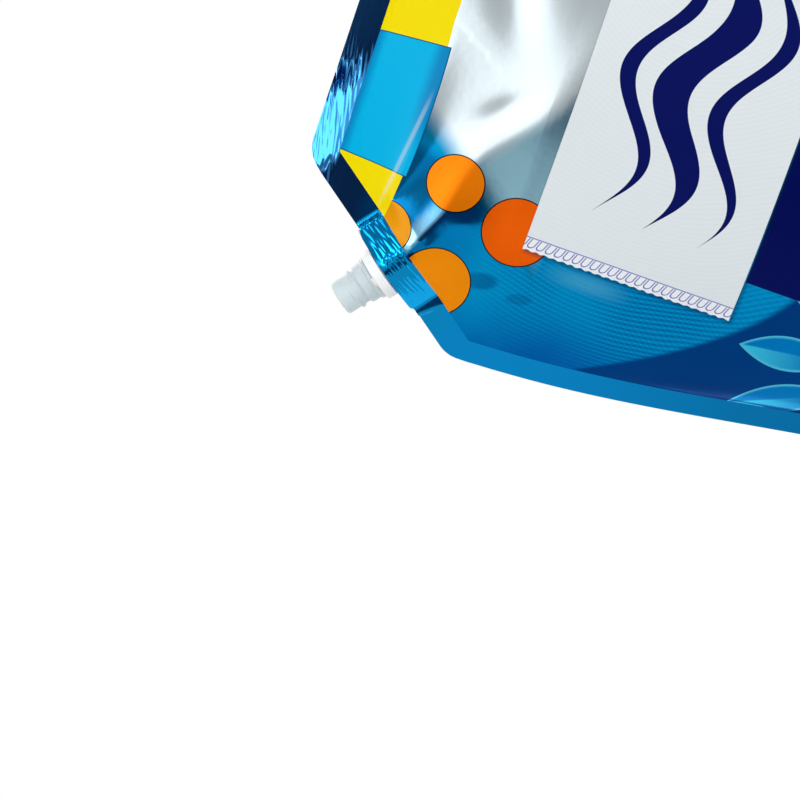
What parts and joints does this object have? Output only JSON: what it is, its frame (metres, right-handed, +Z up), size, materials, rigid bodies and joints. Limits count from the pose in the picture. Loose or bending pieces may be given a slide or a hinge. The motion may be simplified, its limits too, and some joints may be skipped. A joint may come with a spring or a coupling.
{
  "type": "fabric softener pouch",
  "caption": "Filled stand-up refill pouch of printed film on a bottom gusset, with a pouring spout welded into a slanted top corner and a loose tamper band on its neck.",
  "frame": {"origin": "middle of the foot, on the floor that the pouch stands on", "axes": "+Z up, the printed front faces -Y, +X to the right as the front is read"},
  "size_m": [0.232, 0.088, 0.32],
  "materials": {
    "printed_film": "metallised and glossy",
    "spout_plastic": "translucent, satin",
    "band_plastic": "opaque white, satin"
  },
  "bodies": {
    "pouch": {"pouch": "printed_film", "spout": "spout_plastic"},
    "tamper_band": {"tamper_band": "band_plastic"}
  },
  "joints": [
    {"name": "tamper_band_spin", "type": "hinge", "parent": "pouch", "child": "tamper_band", "pos_m": [-0.09191, 0, 0.27982], "axis": [-0.7879, 0, 0.6159], "continuous": true}
  ]
}
